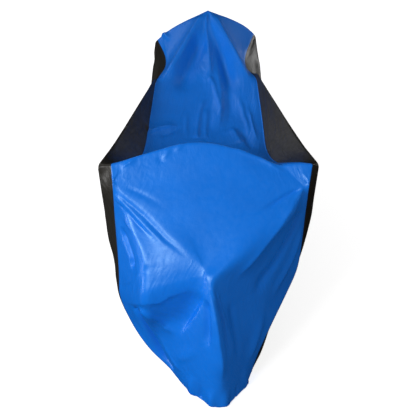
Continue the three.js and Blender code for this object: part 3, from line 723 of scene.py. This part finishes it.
@dataclass(frozen=True)
class Seam:
    """A lapped seam: the side panel runs in under the centre panel's edge, in millimetres.

    The lap's end, the side panel's edge and the centre panel's rolled edge lie lower than the cloth by
    their own shares of drop.
    """

    lap: float = 4.0
    drop: float = 1.1
    lap_share: float = 2.4
    edge_share: float = 0.6
    roll_share: float = 0.7

    def tucked(self, grid: np.ndarray, edge: Edge) -> np.ndarray:
        """Side panel with its seam allowance laid under the centre panel.

        Args:
            grid: Points of the side panel, its cut edge on the seam.
            edge: The seam edge, left or right.

        Returns:
            The grid with one more column.
        """
        column, beside = (0, 1) if edge is Edge.LEFT else (-1, -2)
        normal = outward(grid)[:, column]
        away = unit(grid[:, column] - grid[:, beside])
        lapped = grid[:, column] + away * self.lap - normal * self.drop * self.lap_share
        grid = grid.copy()
        grid[:, column] -= normal * self.drop * self.edge_share
        return self._joined(grid, lapped, edge)

    def rolled(self, grid: np.ndarray, edge: Edge) -> np.ndarray:
        """Centre panel with its folded edge rolled down onto the side panel.

        Args:
            grid: Points of the centre panel.
            edge: The seam edge, left or right.

        Returns:
            The grid with one more column.
        """
        column = 0 if edge is Edge.LEFT else -1
        normal = outward(grid)[:, column]
        return self._joined(grid, grid[:, column] - normal * self.drop * self.roll_share, edge)

    @staticmethod
    def _joined(grid: np.ndarray, line: np.ndarray, edge: Edge) -> np.ndarray:
        """The grid with one line of points added at its left or right edge."""
        extra = line[:, None]
        return np.concatenate([extra, grid] if edge is Edge.LEFT else [grid, extra], axis=1)


def linear(hex_colour: str) -> tuple[float, float, float, float]:
    """Linear colour of an sRGB hex value.

    Args:
        hex_colour: Six hex digits.

    Returns:
        Red, green, blue and alpha.
    """
    parts = (int(hex_colour[n:n + 2], 16) / 255.0 for n in (0, 2, 4))
    r, g, b = (c / 12.92 if c <= 0.04045 else ((c + 0.055) / 1.055) ** 2.4 for c in parts)
    return (r, g, b, 1.0)


def add_node(
    tree: bpy.types.NodeTree, kind: str, inputs: dict[str | int, object] | None = None, **settings: object,
) -> bpy.types.Node:
    """Adds a node with its settings and links.

    Args:
        tree: Node tree to add to.
        kind: Node type.
        inputs: Values, or output sockets to link, by input name or number.
        **settings: Attributes of the node.

    Returns:
        The new node.
    """
    node = tree.nodes.new(kind)
    for name, value in settings.items():
        setattr(node, name, value)
    for name, value in (inputs or {}).items():
        if isinstance(value, bpy.types.NodeSocket):
            tree.links.new(value, node.inputs[name])
        else:
            node.inputs[name].default_value = value
    return node


@dataclass(frozen=True)
class Taffeta:
    """Plain-woven polyester taffeta with a thin waterproof coating: smooth, half glossy, easily creased.

    worn is the colour where the cloth is rubbed, crumple the depth of its creases, sheen the tint of its
    highlights and shine their strength. It lies smooth round taut_at and is creased in full from the far
    end of taut_reach on, both in metres.
    """

    # Radians that a wave texture turns through in one metre at a scale of 1
    WAVE_TURN = 20.0

    name: str
    colour: str
    worn: str
    roughness: float
    crumple: float
    sheen: str
    shine: float
    thread_mm: float = 1.6
    crinkle_mm: float = 26.0
    rumple_mm: float = 120.0
    crease_mm: Pair = (55.0, 150.0)
    taut_at: Point = (0.01, -0.68, 0.92)
    taut_reach: Pair = (0.16, 0.46)
    roughness_swing: Pair = (-0.05, 0.06)

    def material(self) -> bpy.types.Material:
        """Builds the cloth's material.

        Returns:
            A material that reads the panel's own cloth map, in metres of cloth.
        """
        made = bpy.data.materials.new(self.name)
        made.use_nodes = True
        tree = made.node_tree
        tree.nodes.clear()
        cloth = add_node(tree, "ShaderNodeUVMap", uv_map="cloth").outputs["UV"]
        place = add_node(tree, "ShaderNodeTexCoord").outputs["Object"]
        # Threads are far finer than a pixel; they are drawn coarse enough to catch a little light
        warp, weft = (
            add_node(tree, "ShaderNodeTexWave", {
                "Vector": cloth, "Scale": 1.0 / (self.thread_mm * MM) / self.WAVE_TURN, "Distortion": 0.6,
            }, wave_type="BANDS", bands_direction=direction)
            for direction in ("X", "Y")
        )
        weave = add_node(tree, "ShaderNodeMath", {
            0: warp.outputs["Fac"], 1: weft.outputs["Fac"],
        }, operation="MULTIPLY")
        crinkle = add_node(tree, "ShaderNodeTexNoise", {
            "Vector": place, "Scale": 1.0 / (self.crinkle_mm * MM), "Detail": 3.0, "Roughness": 0.55,
        })
        rumple = add_node(tree, "ShaderNodeTexNoise", {
            "Vector": place, "Scale": 1.0 / (self.rumple_mm * MM), "Detail": 2.0, "Roughness": 0.5,
        })
        creases = self._creases(tree, cloth)
        tone = add_node(tree, "ShaderNodeMix", {
            "Factor": rumple.outputs["Fac"], "A": linear(self.colour), "B": linear(self.worn),
        }, data_type="RGBA")
        gloss = add_node(tree, "ShaderNodeMapRange", {
            "Value": crinkle.outputs["Fac"], "From Min": 0.3, "From Max": 0.7,
            "To Min": self.roughness + self.roughness_swing[0],
            "To Max": self.roughness + self.roughness_swing[1],
        })
        # Height, strength and depth in metres of each relief, from the widest to the finest
        under = {}
        for height, strength, depth in (
            (rumple.outputs["Fac"], 0.2, 0.008),
            (creases, self.crumple, 0.004),
            (crinkle.outputs["Fac"], 0.25, 0.003),
            (weave.outputs["Value"], 0.08, 0.0004),
        ):
            relief = {"Height": height, "Strength": strength, "Distance": depth}
            normal = add_node(tree, "ShaderNodeBump", relief | under).outputs["Normal"]
            under = {"Normal": normal}
        shader = add_node(tree, "ShaderNodeBsdfPrincipled", {
            "Base Color": tone.outputs["Result"], "Roughness": gloss.outputs["Result"], "IOR": 1.45,
            "Specular IOR Level": self.shine, "Specular Tint": linear(self.sheen), "Normal": normal,
            "Coat Weight": 0.14, "Coat Roughness": 0.24, "Coat IOR": 1.4, "Coat Normal": normal,
        })
        add_node(tree, "ShaderNodeOutputMaterial", {"Surface": shader.outputs["BSDF"]})
        return made

    def _creases(self, tree: bpy.types.NodeTree, cloth: bpy.types.NodeSocket) -> bpy.types.NodeSocket:
        """Thin sharp creases, longer along the cloth than across it, that die out where it is taut.

        Args:
            tree: Node tree to add to.
            cloth: The panel's cloth map.

        Returns:
            Height of the creases, from 0 to 1.
        """
        across, along = (1.0 / (size * MM) for size in self.crease_mm)
        drawn = add_node(tree, "ShaderNodeVectorMath", {
            0: cloth, 1: (across, along, 1.0),
        }, operation="MULTIPLY")
        noise = add_node(tree, "ShaderNodeTexNoise", {
            "Vector": drawn.outputs["Vector"], "Scale": 1.0, "Detail": 2.0, "Roughness": 0.5,
            "Distortion": 0.5,
        })
        aside = add_node(tree, "ShaderNodeMath", {0: noise.outputs["Fac"], 1: 0.5}, operation="SUBTRACT")
        far = add_node(tree, "ShaderNodeMath", {0: aside.outputs["Value"]}, operation="ABSOLUTE")
        crest = add_node(tree, "ShaderNodeMapRange", {
            "Value": far.outputs["Value"], "From Min": 0.0, "From Max": 0.16, "To Min": 1.0, "To Max": 0.0,
        })
        place = add_node(tree, "ShaderNodeTexCoord").outputs["Object"]
        away = add_node(tree, "ShaderNodeVectorMath", {0: place, 1: self.taut_at}, operation="DISTANCE")
        slack = add_node(tree, "ShaderNodeMapRange", {
            "Value": away.outputs["Value"], "From Min": self.taut_reach[0], "From Max": self.taut_reach[1],
            "To Min": 0.12, "To Max": 1.0,
        })
        return add_node(tree, "ShaderNodeMath", {
            0: crest.outputs["Result"], 1: slack.outputs["Result"],
        }, operation="MULTIPLY").outputs["Value"]


@dataclass(frozen=True)
class Panel:
    """One cut panel of the cover, with its size laid flat in metres and its cloth in square metres; these
    two are not used here.
    """

    name: str
    slot: str
    flat: Pair
    area: float
    finish: Taffeta

    def build(self, grid: np.ndarray) -> bpy.types.Object:
        """Makes the panel's sheet from its grid of points and dresses it.

        Args:
            grid: Points in millimetres, by rows along the cover and columns across it.

        Returns:
            The finished object.
        """
        rows, columns = grid.shape[:2]
        bm = bmesh.new()
        bmesh.ops.create_grid(bm, x_segments=columns - 1, y_segments=rows - 1, size=1.0)
        mesh = bpy.data.meshes.new(self.name)
        bm.to_mesh(mesh)
        bm.free()
        places = np.empty(len(mesh.vertices) * 3)
        mesh.vertices.foreach_get("co", places)
        column = np.rint((places[0::3] + 1.0) / 2.0 * (columns - 1)).astype(int)
        row = np.rint((places[1::3] + 1.0) / 2.0 * (rows - 1)).astype(int)
        mesh.vertices.foreach_set("co", (grid[row, column] * MM).ravel())
        self._map_cloth(mesh, grid * MM, row, column)
        mesh.shade_smooth()
        mesh.update()
        piece = bpy.data.objects.new(self.name, mesh)
        bpy.context.scene.collection.objects.link(piece)
        self.dress(piece)
        LOG.info("%s: %d faces", self.name, len(mesh.polygons))
        return piece

    def dress(self, piece: bpy.types.Object) -> None:
        """Gives the panel its cloth, hangs it on the root body and hides the CAD part it stands in for.

        Args:
            piece: The panel's object.
        """
        piece.data.materials.append(self.finish.material())
        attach(piece, "root")
        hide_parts(self.name.removesuffix("_cloth"))

    @staticmethod
    def _map_cloth(mesh: bpy.types.Mesh, grid: np.ndarray, row: np.ndarray, column: np.ndarray) -> None:
        """Lays a map over the panel in metres of cloth, across and along.

        Args:
            mesh: The panel's mesh.
            grid: Its points in metres.
            row: Row of each vertex.
            column: Column of each vertex.
        """
        across = np.linalg.norm(np.diff(grid, axis=1), axis=2)
        along = np.linalg.norm(np.diff(grid, axis=0), axis=2)
        u = np.pad(np.cumsum(across, axis=1), ((0, 0), (1, 0)))
        v = np.pad(np.cumsum(along, axis=0), ((1, 0), (0, 0)))
        flat = np.stack([u[row, column], v[row, column]], axis=1)
        corner = np.empty(len(mesh.loops), dtype=np.int32)
        mesh.loops.foreach_get("vertex_index", corner)
        layer = mesh.uv_layers.new(name="cloth")
        layer.data.foreach_set("uv", flat[corner].ravel())


# Dyed cloth under a clear coating: a full blue with pale, soft-edged highlights
BLUE = Taffeta("blue_coated_taffeta", "007AF0", "0070E0", 0.38, 0.19, "C4F6FF", 0.85)
# The same cloth in black: dark all over, grey only where a flank mirrors a lamp
BLACK = Taffeta("black_coated_taffeta", "262421", "2F2D29", 0.4, 0.22, "FFFFFF", 0.6)

CENTRE = Panel("centre_panel_cloth", "blue_taffeta", (1.10, 4.30), 2.70, BLUE)
LEFT = Panel("left_side_panel_cloth", "black_taffeta", (1.30, 2.20), 1.75, BLACK)
RIGHT = Panel("right_side_panel_cloth", "black_taffeta", (1.30, 2.20), 1.78, BLACK)


@dataclass
class Cover:
    """The whole cover: a blue centre panel and a black panel on each side.

    The steps are the mesh's cells from section to section and from column to column.
    """

    row_steps: tuple[int, ...] = (66, 64, 26, 38, 32, 30, 50, 40, 38, 40, 36, 14, 12, 12)
    side_steps: tuple[int, ...] = (14, 18, 14)
    centre_steps: tuple[int, ...] = (30, 30, 32, 32, 30, 30)
    hem: Hem = Hem()
    seam: Seam = Seam()

    def build(self, drape: Drape) -> list[bpy.types.Object]:
        """Builds the three panels.

        Args:
            drape: The draped outer face.

        Returns:
            The panels' objects.
        """
        rows = steps(self.row_steps, 0.0)
        left = steps(self.side_steps, 0.0)
        centre = steps(self.centre_steps, Drape.SEAM_LEFT)
        right = steps(self.side_steps[::-1], Drape.SEAM_RIGHT)
        grid = drape.laid(rows, np.concatenate([left[:-1], centre, right[1:]]))
        a, b = len(left) - 1, len(left) + len(centre) - 2
        middle = self._ends(grid[:, a:b + 1])
        middle = self.seam.rolled(self.seam.rolled(middle, Edge.LEFT), Edge.RIGHT)
        left_side = self.seam.tucked(self.hem.turned(self._ends(grid[:, :a + 1]), Edge.LEFT), Edge.RIGHT)
        right_side = self.seam.tucked(self.hem.turned(self._ends(grid[:, b:]), Edge.RIGHT), Edge.LEFT)
        return [CENTRE.build(middle), LEFT.build(left_side), RIGHT.build(right_side)]

    def _ends(self, grid: np.ndarray) -> np.ndarray:
        """Turns in the front and rear hems of a panel."""
        return self.hem.turned(self.hem.turned(grid, Edge.FRONT), Edge.REAR)


@dataclass(frozen=True)
class Lamp:
    """A square soft light.

    mirrored says whether glossy cloth mirrors it and lights whether it lights matt surfaces.
    """

    name: str
    place: Point
    aim: Point
    size: float
    watts: float
    mirrored: bool = True
    lights: bool = True

    def build(self) -> None:
        """Adds the light to the scene."""
        data = bpy.data.lights.new(self.name, "AREA")
        data.size = self.size
        data.energy = self.watts
        lamp = bpy.data.objects.new(self.name, data)
        lamp.location = self.place
        lamp.rotation_euler = (Vector(self.aim) - Vector(self.place)).to_track_quat("-Z", "Y").to_euler()
        lamp.visible_camera = False
        lamp.visible_glossy = self.mirrored
        lamp.visible_diffuse = self.lights
        bpy.context.scene.collection.objects.link(lamp)


LAMPS: tuple[Lamp, ...] = (
    Lamp("key", (-4.5, -3.7, 3.2), (0.0, -0.2, 0.5), 1.8, 188.0),
    Lamp("left rear", (-4.2, 1.2, 2.4), (-0.2, 0.6, 0.9), 1.2, 16.0, mirrored=False),
    Lamp("ridge sheen", (0.6, 1.1, 4.6), (0.0, -0.3, 1.1), 0.6, 4.0, lights=False),
    Lamp("front", (-1.95, -4.1, 3.1), (0.0, -0.3, 0.6), 1.2, 50.0),
    Lamp("rear fill", (3.4, 3.8, 3.4), (0.1, 0.3, 0.8), 2.2, 38.0, mirrored=False),
    Lamp("right fill", (4.4, -3.6, 2.2), (0.1, -0.3, 0.6), 2.2, 34.0, mirrored=False),
    Lamp("left sheen", (-3.4, 4.6, 2.3), (0.35, 0.0, 0.95), 1.8, 8.0, lights=False),
    Lamp("rear sheen", (3.4, 4.6, 2.3), (-0.35, 0.0, 0.95), 1.8, 4.0, lights=False),
    Lamp("seat sheen", (-2.4, 3.0, 4.2), (0.0, 0.1, 0.9), 1.0, 8.0, lights=False),
    Lamp("right sheen", (1.9, 2.4, 0.35), (0.22, 0.85, 0.85), 0.9, 6.0, lights=False),
    Lamp("strip sheen", (-3.0, -0.7, 0.2), (-0.48, -0.52, 0.95), 0.7, 9.0, lights=False),
)


@dataclass
class Studio:
    """Pale floor, soft lights and the camera at the photograph's angle, in metres."""

    elevation_deg: float = 36.0
    distance: float = 9.0
    target: Point = (0.0, -0.1, 0.5098)
    lens_mm: float = 152.6
    sensor_mm: float = 36.0
    sight: float = 200.0
    floor_size: float = 40.0
    floor_cells: int = 8
    floor_glow: float = 0.7
    sky: float = 0.28

    def build(self) -> None:
        """Adds floor, world light, lamps and camera to the scene."""
        self._floor()
        self._world()
        for lamp in LAMPS:
            lamp.build()
        self._camera()
        bpy.context.scene.view_settings.view_transform = "Standard"

    def _floor(self) -> None:
        """Lays the floor under the hem."""
        bm = bmesh.new()
        cells = self.floor_cells
        bmesh.ops.create_grid(bm, x_segments=cells, y_segments=cells, size=self.floor_size / 2.0)
        bmesh.ops.translate(bm, verts=bm.verts, vec=(0.0, 0.0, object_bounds()[0][2]))
        mesh = bpy.data.meshes.new("floor")
        bm.to_mesh(mesh)
        bm.free()
        floor = bpy.data.objects.new("floor", mesh)
        bpy.context.scene.collection.objects.link(floor)
        paint = bpy.data.materials.new("floor_paint")
        paint.use_nodes = True
        shader = paint.node_tree.nodes["Principled BSDF"]
        shader.inputs["Base Color"].default_value = linear("F7F7F7")
        shader.inputs["Roughness"].default_value = 0.9
        shader.inputs["Emission Color"].default_value = linear("FFFFFF")
        shader.inputs["Emission Strength"].default_value = self.floor_glow
        mesh.materials.append(paint)
        # The white floor is not mirrored in the cloth and throws no light up on it
        floor.visible_glossy = False
        floor.visible_diffuse = False
        floor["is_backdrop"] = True

    def _world(self) -> None:
        """Even white light from all round."""
        world = bpy.data.worlds.new("studio")
        world.use_nodes = True
        sky = world.node_tree.nodes["Background"]
        sky.inputs["Color"].default_value = linear("FFFFFF")
        sky.inputs["Strength"].default_value = self.sky
        world.cycles_visibility.glossy = False
        bpy.context.scene.world = world

    def _camera(self) -> None:
        """Sets the camera where the photograph was taken from."""
        tilt = math.radians(self.elevation_deg)
        back = Vector((0.0, -math.cos(tilt), math.sin(tilt)))
        data = bpy.data.cameras.new("camera")
        data.lens = self.lens_mm
        data.sensor_width = self.sensor_mm
        data.clip_end = self.sight
        camera = bpy.data.objects.new("camera", data)
        camera.location = Vector(self.target) + back * self.distance
        camera.rotation_euler = back.to_track_quat("Z", "Y").to_euler()
        bpy.context.scene.collection.objects.link(camera)
        bpy.context.scene.camera = camera


def main() -> None:
    """Builds the cover and the studio."""
    logging.basicConfig(level=logging.INFO, format="%(name)s: %(message)s")
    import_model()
    pieces = Cover().build(Drape(SECTIONS, FOLDS, FANS))
    Studio().build()
    LOG.info("%d pieces", len(pieces))


if __name__ == "__main__":
    main()
